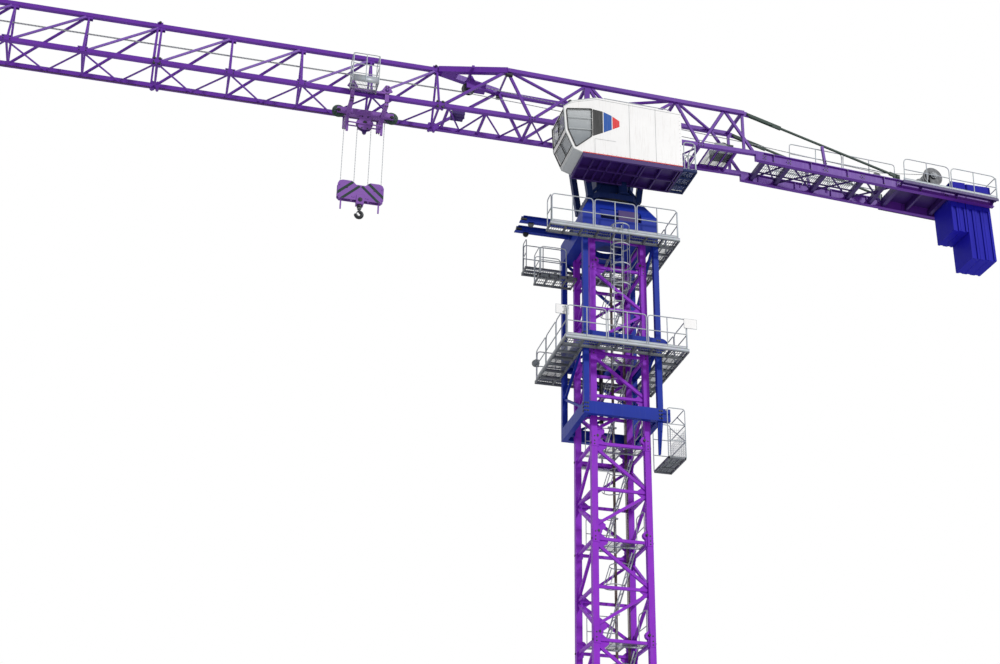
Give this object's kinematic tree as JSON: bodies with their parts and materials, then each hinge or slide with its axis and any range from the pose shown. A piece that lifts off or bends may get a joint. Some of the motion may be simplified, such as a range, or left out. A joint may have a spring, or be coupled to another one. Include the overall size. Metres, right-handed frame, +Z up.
{
  "type": "tower crane",
  "caption": "Flat-top tower crane on a lattice mast with a climbing cage, a trolley jib, a hook block, a cab and a drooping counter-jib with hanging counterweights.",
  "frame": {"origin": "centre of the underside of the base", "axes": "+X from the jib towards the counter-jib, +Y away from the cab, +Z up the mast"},
  "size_m": [38.7325, 4.3, 36.945],
  "materials": {
    "violet_paint": "satin",
    "purple_paint": "satin",
    "blue_paint": "satin",
    "dark_blue_paint": "satin",
    "white_paint": "gloss",
    "zinc": "matte",
    "bright_steel": "polished",
    "dark_steel": "satin",
    "green_steel": "satin",
    "wire_rope": "satin",
    "brown_plastic": "matte",
    "tinted_glass": "gloss"
  },
  "bodies": {
    "mast": {"base_frame": "violet_paint", "mast_near_side": "violet_paint", "mast_far_side": "violet_paint", "mast_left_side": "violet_paint", "mast_right_side": "violet_paint", "mast_ladders": "zinc", "power_cable": "brown_plastic", "climb_rod": "bright_steel"},
    "climbing_cage": {"cage_near_frame": "blue_paint", "cage_far_frame": "blue_paint", "cage_left_frame": "blue_paint", "cage_right_frame": "blue_paint", "cage_guides": "blue_paint", "upper_platform": "zinc", "upper_rails": "zinc", "lower_platform": "zinc", "lower_rails": "zinc", "access_baskets": "zinc", "feed_beams": "blue_paint", "climb_cylinder": "dark_steel", "rail_boxes": "zinc", "slewing_support": "blue_paint"},
    "upperworks": {"slewing_ring": "dark_steel", "turntable": "dark_blue_paint", "head_near_side": "purple_paint", "head_far_side": "purple_paint", "head_top_bracing": "purple_paint", "head_walkway": "purple_paint", "top_fork": "purple_paint", "jib_top_chord": "purple_paint", "jib_near_side": "purple_paint", "jib_far_side": "purple_paint", "jib_bottom_bracing": "purple_paint", "jib_tip": "purple_paint", "cab_house": "white_paint", "cab_windows": "tinted_glass", "cab_floor": "purple_paint", "cab_walkway": "dark_blue_paint", "trolley_winch": "dark_steel", "counter_beams": "purple_paint", "counter_deck": "purple_paint", "counter_rails": "zinc", "counter_ties": "purple_paint", "hoist_winch": "dark_steel", "short_slabs": "blue_paint", "long_slabs": "blue_paint"},
    "trolley": {"trolley_frame": "purple_paint", "trolley_wheels": "green_steel", "trolley_basket": "zinc", "rope_falls": "wire_rope"},
    "hook_block_body": {"hook_block": "purple_paint"},
    "hook_body": {"hook": "dark_steel"}
  },
  "joints": [
    {"name": "climb", "type": "slide", "parent": "mast", "child": "climbing_cage", "axis": [0, 0, 1], "range_m": [0, 1.6]},
    {"name": "slew", "type": "hinge", "parent": "climbing_cage", "child": "upperworks", "pos_m": [0, 0, 31.9], "axis": [0, 0, 1], "continuous": true},
    {"name": "trolley_travel", "type": "slide", "parent": "upperworks", "child": "trolley", "axis": [-1, 0, 0], "range_m": [-4.2, 13.5]},
    {"name": "hoist", "type": "slide", "parent": "trolley", "child": "hook_block_body", "axis": [0, 0, 1], "range_m": [-29.2, 1.2], "deforming": ["rope_falls"]},
    {"name": "hook_swivel", "type": "hinge", "parent": "hook_block_body", "child": "hook_body", "pos_m": [-8.8, 0, 30.8], "axis": [0, 0, 1], "continuous": true}
  ]
}
